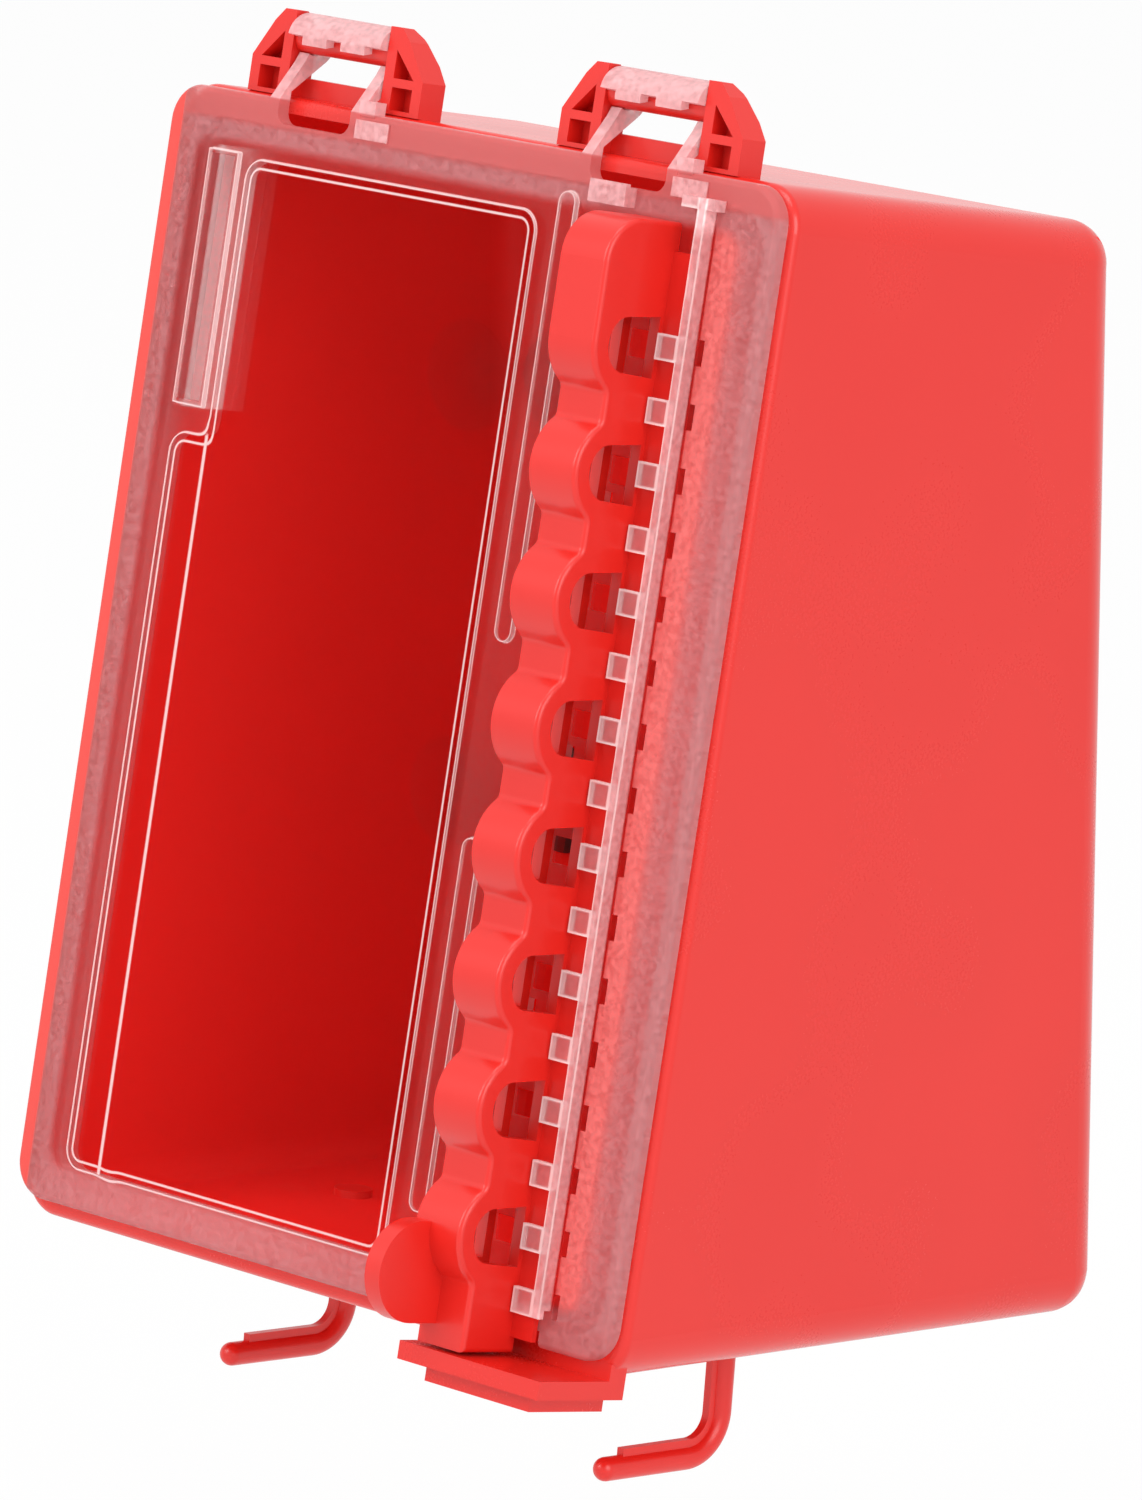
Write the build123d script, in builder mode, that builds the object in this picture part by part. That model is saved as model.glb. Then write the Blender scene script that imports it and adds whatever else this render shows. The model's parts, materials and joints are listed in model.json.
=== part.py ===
from build123d import *
from math import cos, radians, sin, tan
import os

# Group lockout box: a red wedge-shaped case that hangs on a wall, a clear cover hinged on two
# yokes at its top, and a red lock bar on the cover whose holes take the padlock shackles.
# The origin is the middle of the wall face, +Z is up and the cover faces -Y. Sizes in millimetres.

os.makedirs("parts", exist_ok=True)

# Case
case_width = 156.5
front_height = 210.0
front_lean = 11.5
bottom_depth = 125.0
bottom_fall = 5.6
mid_height = 101.0
case_wall = 3.0
case_round = 8.0
rim_round = 1.8

# Cover plate and the rib behind it
cover_gap = 0.6
cover_thickness = 2.6
cover_side_inset = 0.8
cover_top_inset = 0.5
cover_bottom_inset = 3.2
cover_corner = 7.0
cover_edge_round = 1.2
rib_thickness = 3.2
rib_depth = 3.4
rib_clearance = 2.5
rib_bottom_extra = 1.2

# Window, a pad polished on the face of the cover, measured from the edges of the front
window_side_gap = 13.85
window_step_width = 9.4
window_bar_gap = 24.0
window_bottom = 10.6
window_top_gap = 12.0
window_step_drop = 5.8
window_corner = 4.0
window_proud = 0.4

# Key slot and the baffle behind it
slot_width = 6.2
slot_length = 45.0
slot_side_gap = 17.35
slot_top_gap = 12.2
slot_lip = 0.8
baffle_depth = 8.0
baffle_thickness = 1.6
baffle_lip = 6.4
baffle_overlap = 3.0

# Two long beads that stiffen the plate beside the lock bar
bead_width = 4.1
bead_proud = 0.9
bead_bar_gap = 16.8
bead_top_gap = 7.5
upper_bead_length = 79.9
lower_bead_length = 67.0
lower_bead_bottom = 20.6

# Padlock positions and the lock bar, placed from the right side and the top of the front
hole_pitch = 22.4
lowest_hole = 21.8
bar_side_gap = 34.25
bar_top_gap = 9.4
bar_head = 22.0
bar_width = 11.2
bar_wall = 2.4
bar_bottom = 1.1
bar_clearance = 0.3
bar_valley_height = 12.4
bar_valley_round = 1.6
bar_bulge_rise = 4.8
bar_bulge_radius = 9.7
bar_top_round = 8.0
bar_edge_round = 0.9
bar_foot_width = 5.2
bar_foot_thickness = 1.1
bar_foot_start = 3.0
bar_foot_end = 5.0
bar_travel = 4.0
shackle_hole_height = 9.8
shackle_hole_nose = 4.4
shackle_hole_flare = 0.5
shackle_hole_skin = 3.5
shackle_hole_start = 1.9
fin_thickness = 3.7
fin_radius = 9.05
fin_height = 13.9
fin_reach = 1.6
claw_inset = 1.0
claw_thickness = 2.4
claw_length = 6.0
claw_barb = 1.4
claw_barb_height = 1.2

# Comb that holds the foot of the lock bar
tab_per_hole = 2
tab_offset = 0.4
tab_gap = 0.5
tab_length = 5.0
tab_height = 4.6
tab_thickness = 1.2
comb_wall = 2.0
relief_width = 1.4
relief_offset = 0.3
comb_bottom = 10.2
comb_top_clearance = 3.0
comb_cap = (8.0, 2.0)
stop_block = (9.0, 4.0)
stop_gap = 1.0
foot_notch = 3.0
plate_window = (6.2, 5.0)

# Hinges
hinge_side_gap = 38.25
axis_height = 10.6
axis_depth = 3.8
pin_radius = 2.5
pin_clearance = 0.3
pin_seat = 2.0
clip_thickness = 2.0
clip_mouth_low = -62.0
clip_mouth_high = 8.0
clip_width = 24.0
clip_side_clearance = 0.3
clip_lug_width = 6.2
clip_lug_spacing = 10.0
clip_lug_angle = -12.0
cheek_thickness = 2.5
cheek_spacing = 21.2
cheek_root = 7.0
cheek_lift = 1.0
cheek_heel = -130.0
notch_depth = 4.5
notch_corner = 2.5
shoulder_width = 3.6
shoulder_height = 2.3
gusset_width = 8.0
gusset_proud = 0.4
yoke_width = 44.6
yoke_front = 0.8
yoke_depth = 5.8
yoke_height = 15.6
yoke_shoulder = 6.5
yoke_crown = 2.3
yoke_shoulder_in = 4.7
yoke_crown_in = 7.0
yoke_crown_round = 2.0
yoke_back_chamfer = 3.0
yoke_wall_thickness = 2.4
yoke_wall_height = 3.6
pocket_depth = 3.6
pocket_rib = 2.4
pocket_bridge = 1.6
peg_radius = 2.0
peg_offset = 17.3

# Shelf under the lock bar
shelf_bar_gap = 3.0
shelf_side_gap = 2.25
shelf_reach = 17.2
shelf_thickness = 3.3
shelf_top = 0.5
shelf_root = 4.0
step_inset = 4.5
step_reach = 14.2
step_thickness = 3.0

# Hooks under the case
hook_side_gap = 29.25
hook_setback = 68.5
hook_radius = 2.2
hook_drop = 24.6
hook_bend = 8.0
hook_arm = 28.0
hook_tip_rise = 3.0
hook_spine_thickness = 1.6
hook_spine_height = 1.3
hook_spine_end = 3.5
hook_stem_radius = 1.8
hook_head_radius = 3.6
hook_head_thickness = 1.4

# Release buttons on the back wall: a domed head inside, a neck through a slot, a latch foot outside
button_heights = (-40.0, 40.0)
button_radius = 10.5
button_height = 5.0
button_brim = 1.0
button_travel = 5.0
button_clearance = 0.3
neck_length = 9.0
neck_width = 8.0
foot_size = (18.0, 14.0)
foot_thickness = 1.0
latch_recess = 1.6
fit_clearance = 0.05

# How far an added boss runs into the piece it stands on
sunk = 0.5

# Corners of the side view, from the driving sizes
lean = radians(front_lean)
outward = Vector(0, -cos(lean), sin(lean))
upward = Vector(0, sin(lean), cos(lean))
front_bottom = Vector(0, -bottom_depth, -mid_height)
front_top = front_bottom + upward * front_height
back_top = front_top - outward * (-front_top.Y / cos(lean))
back_bottom = Vector(0, 0, front_bottom.Z - bottom_depth * tan(radians(bottom_fall)))

# Local x runs across the front, local y up the front, and the normal points out of it
rim_plane = Plane(origin=front_bottom, x_dir=(1, 0, 0), z_dir=outward)

plate_back = cover_gap
plate_front = cover_gap + cover_thickness
cover_half = case_width / 2 - cover_side_inset
cover_low = cover_bottom_inset
cover_high = front_height - cover_top_inset
opening_half = case_width / 2 - case_wall
bar_left = case_width / 2 - bar_side_gap
bar_right = bar_left + bar_width
hole_room = front_height - bar_top_gap - bar_head - lowest_hole
hole_count = int(hole_room / hole_pitch + 0.001) + 1
hole_heights = [lowest_hole + i * hole_pitch for i in range(hole_count)]
bar_top = hole_heights[-1] + bar_head
bar_base = plate_front + bar_clearance
bar_valley = bar_base + bar_valley_height
bar_bulge = bar_valley + bar_bulge_rise
foot_top = bar_base + bar_foot_thickness
tab_pitch = hole_pitch / tab_per_hole
lowest_tab = lowest_hole - tab_pitch + tab_offset
tab_heights = [lowest_tab + i * tab_pitch for i in range(tab_per_hole * hole_count)]
tab_low = foot_top + bar_clearance
comb_front = tab_low + tab_thickness
comb_top = bar_top + comb_top_clearance
tab_left = bar_right + tab_gap
wall_left = tab_left + tab_length
claw_left = bar_left + claw_inset + bar_clearance
claw_heights = [(low + high) / 2 for low, high in zip(hole_heights[1:-1:2], hole_heights[2::2])]
slot_left = -case_width / 2 + slot_side_gap - slot_width / 2
slot_low = front_height - slot_top_gap - slot_length
slot_center = (slot_left + slot_width / 2, slot_low + slot_length / 2)
window_left = -case_width / 2 + window_side_gap
window_step_left = window_left + window_step_width
window_right = bar_left - window_bar_gap
window_top = front_height - window_top_gap
window_step = slot_low - window_step_drop
bead_x = bar_left - bead_bar_gap
upper_bead = (front_height - bead_top_gap - upper_bead_length, front_height - bead_top_gap)
lower_bead = (lower_bead_bottom, lower_bead_bottom + lower_bead_length)
shelf_left = bar_left - shelf_bar_gap
shelf_width = case_width / 2 - shelf_side_gap - shelf_left
button_x = -(case_width / 2 - case_round - button_radius)
slide_middle = button_x + button_travel / 2
hinge_centers = (-case_width / 2 + hinge_side_gap, case_width / 2 - hinge_side_gap)
hook_x = case_width / 2 - hook_side_gap
axis_u = front_height + axis_height
axis_n = -axis_depth
clip_inner = pin_radius + pin_clearance
clip_outer = clip_inner + clip_thickness
arm_inner = clip_width / 2 + clip_side_clearance


def side_plane(x):
    """Plane across the box at x: local x points out of the front, local y up the front."""
    return Plane(origin=rim_plane.from_local_coords((x, 0, 0)), x_dir=outward, z_dir=(-1, 0, 0))


def finish(builder, name):
    """Label one finished piece and write it to its own file."""
    builder.part.label = name
    export_step(builder.part, f"parts/{name}.step")


# Case
def run_back(start, direction, y):
    """The point where a line from start reaches the given depth."""
    return start + direction * ((y - start.Y) / direction.Y)


def rounded_wedge(outline, half_width, radius):
    """A wedge with round long edges and a round back, flat at the front."""
    with BuildPart() as wedge:
        with BuildSketch(Plane.YZ):
            with BuildLine():
                Polyline(*[(point.Y, point.Z) for point in outline], close=True)
            make_face()
        extrude(amount=half_width, both=True)
        front_face = wedge.faces().sort_by(Axis.Y)[0]
        rear_face = wedge.faces().sort_by(Axis.Y)[-1]
        end_edges = front_face.edges() + rear_face.edges()
        long_edges = [
            edge
            for edge in wedge.edges()
            if abs(edge.center().X) > half_width - 0.01 and edge not in end_edges
        ]
        fillet(long_edges, radius=radius)
        fillet(wedge.faces().sort_by(Axis.Y)[-1].edges(), radius=radius)
    return wedge.part


fall = radians(bottom_fall)
bottom_normal = Vector(0, -sin(fall), -cos(fall))
bottom_run = Vector(0, cos(fall), -sin(fall))
roof = front_top - upward * case_wall
floor = front_bottom - bottom_normal * case_wall
past_rim = case_wall + 2
outer_wedge = rounded_wedge(
    (front_bottom, front_top, back_top, back_bottom),
    case_width / 2,
    case_round,
)
inner_wedge = rounded_wedge(
    (
        floor - bottom_run * past_rim,
        roof + outward * past_rim,
        run_back(roof, -outward, -case_wall),
        run_back(floor, bottom_run, -case_wall),
    ),
    opening_half,
    case_round - case_wall,
)

with BuildPart() as case:
    add(outer_wedge)
    mouth = case.faces().sort_by(Axis.Y)[0]
    fillet(mouth.edges(), radius=rim_round)
    add(inner_wedge, mode=Mode.SUBTRACT)
    with BuildSketch(side_plane(shelf_left)):
        with Locations((shelf_reach, shelf_top)):
            Rectangle(shelf_reach + shelf_root, shelf_thickness, align=(Align.MAX, Align.MAX))
        with Locations((0, shelf_top)):
            Rectangle(shelf_root, case_wall, align=(Align.MAX, Align.MIN))
    extrude(amount=-shelf_width)
    with BuildSketch(side_plane(shelf_left + step_inset)):
        with Locations((step_reach, shelf_top - shelf_thickness)):
            Rectangle(step_reach + shelf_root, step_thickness, align=(Align.MAX, Align.MAX))
    extrude(amount=-(shelf_width - 2 * step_inset))
    for height in button_heights:
        with BuildSketch(Plane.XZ.offset(case_wall + 1)):
            with Locations((slide_middle, height)):
                SlotOverall(
                    neck_length + button_travel + 2 * button_clearance,
                    neck_width + 2 * button_clearance,
                )
        extrude(amount=-(case_wall + 2), mode=Mode.SUBTRACT)
        with BuildSketch(Plane.XZ):
            with Locations((slide_middle, height)):
                Rectangle(
                    foot_size[0] + button_travel + 2 * button_clearance,
                    foot_size[1] + 2 * button_clearance,
                )
        extrude(amount=latch_recess, mode=Mode.SUBTRACT)
    top_plane = Plane(origin=front_top, x_dir=(1, 0, 0), z_dir=upward)
    with BuildSketch(top_plane.offset(1)):
        for center in hinge_centers:
            for side in (-1, 1):
                with Locations((center + side * peg_offset, yoke_front + yoke_depth / 2)):
                    Circle(peg_radius + fit_clearance)
    extrude(amount=-(case_wall + 2), mode=Mode.SUBTRACT)
    hook_seat = run_back(front_bottom, bottom_run, -hook_setback)
    hook_plane = Plane(origin=hook_seat, x_dir=(1, 0, 0), z_dir=bottom_normal)
    with BuildSketch(hook_plane.offset(1)):
        with GridLocations(2 * hook_x, 1, 2, 1):
            Circle(hook_stem_radius + fit_clearance)
    extrude(amount=-(case_wall + 2), mode=Mode.SUBTRACT)
finish(case, "case")


# Hinge yokes: two cored arms on a low wall, with blind seats for the pin
def arm_outline(center, side):
    """Outline of one arm, as points across and up the front."""
    outer = yoke_width / 2
    base = front_height
    points = (
        (arm_inner, base),
        (outer, base),
        (outer, base + yoke_shoulder),
        (outer - yoke_shoulder_in, base + yoke_height - yoke_crown),
        (outer - yoke_crown_in, base + yoke_height),
        (arm_inner, base + yoke_height),
    )
    return [(center + side * x, u) for x, u in points]


def pocket_outlines(center, side):
    """Outlines of the two cored pockets in the front of one arm."""
    outer = yoke_width / 2
    base = front_height
    inner_rib = arm_inner + pocket_rib
    bridge = base + yoke_shoulder - pocket_bridge
    tip = base + yoke_height - pocket_rib - pocket_bridge
    sill = bridge + pocket_bridge
    triangle = ((inner_rib, sill), (outer - pocket_rib, sill), (inner_rib, tip))
    window = (
        (inner_rib, base + pocket_bridge / 2),
        (outer - pocket_rib, base + pocket_bridge / 2),
        (outer - pocket_rib, bridge),
        (inner_rib, bridge),
    )
    return [[(center + side * x, u) for x, u in shape] for shape in (triangle, window)]


def build_yoke(center, name):
    """One yoke, standing on the top of the case behind the cover."""
    with BuildPart() as yoke:
        with BuildSketch(rim_plane.offset(-yoke_front)):
            for side in (-1, 1):
                with BuildLine():
                    Polyline(*arm_outline(center, side), close=True)
                make_face()
        extrude(amount=-yoke_depth)
        with BuildSketch(side_plane(center - arm_inner)):
            with Locations((-yoke_front - yoke_depth, front_height)):
                Rectangle(yoke_wall_thickness, yoke_wall_height, align=(Align.MIN, Align.MIN))
        extrude(amount=-2 * arm_inner)
        with BuildSketch(side_plane(center - yoke_width / 2 - 1)):
            with BuildLine():
                back = -yoke_front - yoke_depth
                top = front_height + yoke_height
                Polyline(
                    (back - 1, top - 2 * yoke_back_chamfer),
                    (back, top - 2 * yoke_back_chamfer),
                    (back + yoke_back_chamfer / 2, top - yoke_back_chamfer / 2),
                    (back + yoke_back_chamfer, top),
                    (back + yoke_back_chamfer, top + 1),
                    (back - 1, top + 1),
                    close=True,
                )
            make_face()
        extrude(amount=-(yoke_width + 2), mode=Mode.SUBTRACT)
        with BuildSketch(rim_plane.offset(-yoke_front)):
            for side in (-1, 1):
                for shape in pocket_outlines(center, side):
                    with BuildLine():
                        Polyline(*shape, close=True)
                    make_face()
        extrude(amount=-pocket_depth, mode=Mode.SUBTRACT)
        with BuildSketch(side_plane(center - arm_inner - pin_seat)):
            with Locations((axis_n, axis_u)):
                Circle(pin_radius + fit_clearance)
        extrude(amount=-2 * (arm_inner + pin_seat), mode=Mode.SUBTRACT)
        with BuildSketch(top_plane):
            for side in (-1, 1):
                with Locations((center + side * peg_offset, yoke_front + yoke_depth / 2)):
                    Circle(peg_radius)
        extrude(amount=-case_wall)
    finish(yoke, name)
    return yoke


def build_pin(center, name):
    """The round bar that the cover's clip turns on."""
    with BuildPart() as pin:
        with BuildSketch(side_plane(center - arm_inner - pin_seat + fit_clearance)):
            with Locations((axis_n, axis_u)):
                Circle(pin_radius)
        extrude(amount=-2 * (arm_inner + pin_seat - fit_clearance))
    finish(pin, name)
    return pin


hinge_yoke_left = build_yoke(hinge_centers[0], "hinge_yoke_left")
hinge_yoke_right = build_yoke(hinge_centers[1], "hinge_yoke_right")
hinge_pin_left = build_pin(hinge_centers[0], "hinge_pin_left")
hinge_pin_right = build_pin(hinge_centers[1], "hinge_pin_right")


# Cover
def ring_wedge(start, end):
    """Points of a fan round the hinge axis that reaches past the clip, between two angles."""
    steps = int((end - start) / 45) + 1
    angles = [radians(start + (end - start) * i / steps) for i in range(steps + 1)]
    reach = 2 * clip_outer
    fan = [(axis_n + reach * cos(angle), axis_u + reach * sin(angle)) for angle in angles]
    return [(axis_n, axis_u)] + fan


def clip_profile(start, end):
    """Side view of the part of the clip that lies between two angles round the hinge axis."""
    with BuildSketch() as profile:
        with BuildLine():
            Polyline(*ring_wedge(start, end), close=True)
        make_face()
        with Locations((axis_n, axis_u)):
            Circle(clip_outer, mode=Mode.INTERSECT)
            Circle(clip_inner, mode=Mode.SUBTRACT)
    return profile.sketch_local


def cheek_profile():
    """Side view of a cheek: the ring of the clip and the web that joins it to the plate."""
    low = radians(clip_mouth_low)
    heel = radians(cheek_heel)
    with BuildSketch() as profile:
        with BuildLine():
            Polyline(*ring_wedge(clip_mouth_high, clip_mouth_low + 360), close=True)
        make_face()
        with Locations((axis_n, axis_u)):
            Circle(clip_outer, mode=Mode.INTERSECT)
        with BuildLine():
            Polyline(
                (plate_front, cover_high - cheek_root),
                (plate_front, cover_high),
                (axis_n + clip_outer * cos(low), axis_u + clip_outer * sin(low)),
                (axis_n, axis_u),
                (axis_n + clip_outer * cos(heel), axis_u + clip_outer * sin(heel)),
                (plate_back, front_height + cheek_lift),
                (plate_back, cover_high - cheek_root),
                close=True,
            )
        make_face()
        with Locations((axis_n, axis_u)):
            Circle(clip_inner, mode=Mode.SUBTRACT)
    return profile.sketch_local


bead_spans = (lower_bead, upper_bead)
rib_half = opening_half - rib_clearance
rib_low = case_wall + rib_clearance + rib_bottom_extra
rib_high = front_height - case_wall - rib_clearance
cheek_outer = (cheek_spacing + cheek_thickness) / 2

# The gusset stays above the lock bar when the bar is pushed up
gusset_low = bar_top + bar_travel + bar_clearance
gusset_high = cover_high - cover_edge_round

with BuildPart() as cover:
    with BuildSketch(rim_plane.offset(plate_back)):
        with Locations((0, (cover_low + cover_high) / 2)):
            RectangleRounded(2 * cover_half, cover_high - cover_low, cover_corner)
    extrude(amount=cover_thickness)
    front_face = cover.faces().filter_by(lambda face: face.normal_at().dot(outward) > 0.999)[0]
    fillet(front_face.edges(), radius=cover_edge_round)
    with BuildSketch(rim_plane.offset(plate_back)):
        with Locations((0, (rib_low + rib_high) / 2)):
            RectangleRounded(2 * rib_half, rib_high - rib_low, cover_corner)
            RectangleRounded(
                2 * (rib_half - rib_thickness),
                rib_high - rib_low - 2 * rib_thickness,
                cover_corner - rib_thickness,
                mode=Mode.SUBTRACT,
            )
    extrude(amount=-rib_depth)
    with BuildSketch(rim_plane.offset(plate_front)):
        with BuildLine():
            Polyline(
                (window_left, window_bottom),
                (window_right, window_bottom),
                (window_right, window_top),
                (window_step_left, window_top),
                (window_step_left, window_step),
                (window_left, window_step),
                close=True,
            )
        make_face()
        fillet(vertices(), radius=window_corner)
    extrude(amount=window_proud)
    with BuildSketch(rim_plane.offset(plate_front)):
        for low, high in bead_spans:
            with Locations((bead_x, (low + high) / 2)):
                SlotOverall(high - low, bead_width, rotation=90)
        with Locations(slot_center):
            Rectangle(slot_width + 2 * slot_lip, slot_length + 2 * slot_lip)
    extrude(amount=bead_proud)
    with BuildSketch(rim_plane.offset(plate_front - sunk)):
        with Locations((wall_left + comb_wall / 2, (comb_top + comb_bottom) / 2)):
            Rectangle(comb_wall, comb_top - comb_bottom)
        with Locations((wall_left, comb_top)):
            Rectangle(*comb_cap, align=(Align.CENTER, Align.MIN))
        with Locations((bar_left - stop_gap, comb_top - comb_cap[1])):
            Rectangle(*stop_block, align=(Align.MAX, Align.MIN))
    extrude(amount=comb_front - plate_front + sunk)
    with BuildSketch(rim_plane.offset(tab_low)):
        for height in tab_heights:
            with Locations((tab_left, height)):
                Rectangle(tab_length + comb_wall, tab_height, align=(Align.MIN, Align.CENTER))
    extrude(amount=tab_thickness)
    with BuildSketch(rim_plane.offset(plate_back)):
        for center in hinge_centers:
            with Locations((center + cheek_outer - sunk, cover_high - sunk)):
                Rectangle(
                    shoulder_width + sunk,
                    shoulder_height + sunk,
                    align=(Align.MIN, Align.MIN),
                )
    extrude(amount=cover_thickness)
    with BuildSketch(rim_plane.offset(plate_front - sunk)):
        for center in hinge_centers:
            with Locations((center + cheek_outer - sunk, gusset_low)):
                Rectangle(gusset_width + sunk, gusset_high - gusset_low, align=(Align.MIN, Align.MIN))
    extrude(amount=gusset_proud + sunk)
    for center in hinge_centers:
        for offset_x in (-cheek_spacing / 2, cheek_spacing / 2):
            with BuildSketch(side_plane(center + offset_x - cheek_thickness / 2)):
                add(cheek_profile())
            extrude(amount=-cheek_thickness)
        with BuildSketch(side_plane(center - clip_width / 2)):
            add(clip_profile(clip_mouth_high, 180))
        extrude(amount=-clip_width)
        for offset_x in (-clip_lug_spacing / 2, clip_lug_spacing / 2):
            with BuildSketch(side_plane(center + offset_x - clip_lug_width / 2)):
                add(clip_profile(clip_lug_angle, 2 * clip_mouth_high))
            extrude(amount=-clip_lug_width)
    with BuildSketch(rim_plane.offset(plate_back - 1)):
        for center in hinge_centers:
            with Locations((center, cover_high)):
                RectangleRounded(cheek_spacing - cheek_thickness, 2 * notch_depth, notch_corner)
        with Locations(slot_center):
            Rectangle(slot_width, slot_length)
        for height in tab_heights:
            with Locations((wall_left + comb_wall + relief_offset, height)):
                Rectangle(relief_width, tab_height, align=(Align.MIN, Align.CENTER))
        for height in hole_heights:
            with Locations((bar_right - bar_wall, height)):
                Rectangle(*plate_window, align=(Align.MAX, Align.CENTER))
        for height in claw_heights:
            with Locations((claw_left - bar_clearance, height + bar_travel / 2)):
                Rectangle(
                    claw_thickness + 2 * bar_clearance,
                    claw_length + bar_travel + 2 * bar_clearance,
                    align=(Align.MIN, Align.CENTER),
                )
        with Locations((bar_left - stop_gap, cover_low)):
            Rectangle(wall_left - bar_left + stop_gap, 2 * foot_notch, align=(Align.MIN, Align.CENTER))
    extrude(amount=cover_thickness + bead_proud + 2, mode=Mode.SUBTRACT)
finish(cover, "cover")

# Baffle that stops keys being fished back out of the slot
with BuildPart() as key_slot_baffle:
    with BuildSketch(rim_plane.offset(plate_back)):
        with Locations((slot_left, slot_center[1])):
            Rectangle(baffle_thickness, slot_length + baffle_overlap, align=(Align.MAX, Align.CENTER))
    extrude(amount=-baffle_depth)
    with BuildSketch(rim_plane.offset(plate_back - baffle_depth)):
        with Locations((slot_left - baffle_thickness, slot_center[1])):
            Rectangle(baffle_lip, slot_length + baffle_overlap, align=(Align.MIN, Align.CENTER))
    extrude(amount=baffle_thickness)
finish(key_slot_baffle, "key_slot_baffle")


# Lock bar
def bar_profile(inset):
    """Scalloped side view of the lock bar, or of its hollow when inset by the wall."""
    valley = bar_valley - inset
    radius = bar_bulge_radius - inset
    crest = bar_bulge - inset
    middle = bar_bulge - bar_bulge_radius
    half = (radius**2 - (valley - middle) ** 2) ** 0.5
    low = bar_bottom + inset
    high = bar_top - inset
    round_top = bar_top_round - inset
    base = bar_base - (1 if inset else 0)
    slope = radians(30)
    diagonal = round_top * sin(radians(45))
    corner_n = crest - round_top
    corner_u = high - round_top
    last = hole_heights[-1]
    with BuildSketch() as profile:
        with BuildLine():
            Polyline((base, high), (base, low), (valley, low), (valley, hole_heights[0] - half))
            for i, height in enumerate(hole_heights[:-1]):
                ThreePointArc((valley, height - half), (crest, height), (valley, height + half))
                Line((valley, height + half), (valley, hole_heights[i + 1] - half))
            on_arc = (middle + radius * cos(slope), last - radius * sin(slope))
            ThreePointArc((valley, last - half), on_arc, (crest, last))
            Line((crest, last), (crest, corner_u))
            shoulder = (corner_n + diagonal, corner_u + diagonal)
            ThreePointArc((crest, corner_u), shoulder, (corner_n, high))
            Line((corner_n, high), (base, high))
        make_face()
        hollows = [v for v in profile.vertices() if abs(v.X - valley) < 0.01 and v.Y > low + 1]
        fillet(hollows, radius=bar_valley_round)
    return profile.sketch_local


with BuildPart() as lock_bar:
    with BuildSketch(side_plane(bar_left)):
        add(bar_profile(0))
    extrude(amount=-bar_width)
    far_side = lock_bar.faces().sort_by(Axis.X)[-1]
    crest_edges = [
        edge
        for edge in far_side.edges()
        if rim_plane.to_local_coords(edge.center()).Z > bar_base + bar_valley_height / 3
    ]
    fillet(crest_edges, radius=bar_edge_round)
    with BuildSketch(side_plane(bar_left)):
        with Locations((bar_valley, fin_height)):
            Rectangle(
                bar_bulge - bar_valley + fin_reach,
                2 * fin_radius,
                align=(Align.MIN, Align.CENTER),
            )
        with Locations((bar_bulge + fin_reach, fin_height)):
            Circle(fin_radius)
    extrude(amount=-fin_thickness)
    with BuildSketch(side_plane(bar_left + bar_wall)):
        add(bar_profile(bar_wall))
    extrude(amount=-(bar_width - 2 * bar_wall), mode=Mode.SUBTRACT)
    foot_low = bar_bottom + bar_foot_start
    foot_high = bar_top - bar_foot_end
    with BuildSketch(rim_plane.offset(bar_base)):
        with Locations((bar_right - sunk, foot_low)):
            Rectangle(bar_foot_width + sunk, foot_high - foot_low, align=(Align.MIN, Align.MIN))
    extrude(amount=bar_foot_thickness)
    nose_start = bar_bulge - shackle_hole_skin - shackle_hole_nose
    straight = shackle_hole_height / 2
    flared = straight + shackle_hole_flare
    flare_start = bar_base + shackle_hole_start
    with BuildSketch(side_plane(bar_left - 1)):
        for height in hole_heights:
            with Locations((nose_start, height)):
                Ellipse(shackle_hole_nose, straight)
            with BuildLine():
                Polyline(
                    (flare_start, height - flared),
                    (nose_start, height - straight),
                    (nose_start, height + straight),
                    (flare_start, height + flared),
                    close=True,
                )
            make_face()
    extrude(amount=-(bar_width + 2), mode=Mode.SUBTRACT)
    barb_top = plate_back - bar_clearance
    barb_plane = rim_plane.offset(barb_top - claw_barb_height)
    with BuildSketch(barb_plane):
        for height in claw_heights:
            with Locations((claw_left, height)):
                Rectangle(claw_thickness, claw_length, align=(Align.MIN, Align.CENTER))
    extrude(amount=bar_base - barb_top + claw_barb_height + bar_wall)
    with BuildSketch(barb_plane):
        for height in claw_heights:
            with Locations((claw_left - claw_barb, height)):
                Rectangle(claw_barb + claw_thickness, claw_length, align=(Align.MIN, Align.CENTER))
    extrude(amount=claw_barb_height)
finish(lock_bar, "lock_bar")


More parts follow.
